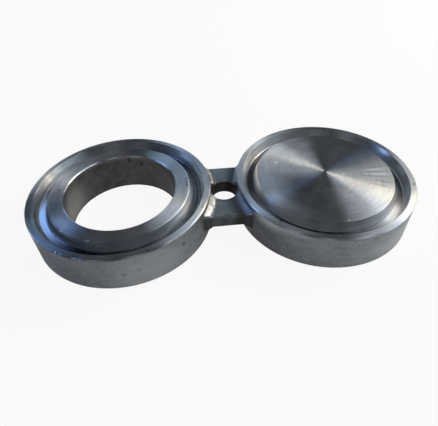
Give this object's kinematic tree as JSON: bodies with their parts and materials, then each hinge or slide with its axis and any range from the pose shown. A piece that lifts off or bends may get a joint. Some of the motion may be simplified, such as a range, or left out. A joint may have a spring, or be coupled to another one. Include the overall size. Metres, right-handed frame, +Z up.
{
  "type": "spectacle blind",
  "caption": "Figure-eight line blind: an open spacer ring and a solid blind disc, both grooved for a ring joint gasket, joined by a welded web plate with a bolt hole.",
  "frame": {"origin": "centre of the underside, below the axis of the web plate's bolt hole", "axes": "+Z up through both faces, +X from the spacer ring to the blind disc, -Y the front"},
  "size_m": [0.3144, 0.146, 0.034],
  "materials": {
    "turned_steel": "lathe-turned bare steel with fine ring marks, semi-bright",
    "plate_steel": "ground bare plate, darker at its cut edges",
    "weld_metal": "wire-brushed weld bead with fine ripples and a faint blue heat tint"
  },
  "bodies": {
    "root": {"spacer_ring": "turned_steel", "blind_disc": "turned_steel", "web_plate": "plate_steel", "weld_ring_front": "weld_metal", "weld_ring_back": "weld_metal", "weld_disc_front": "weld_metal", "weld_disc_back": "weld_metal"}
  },
  "joints": []
}
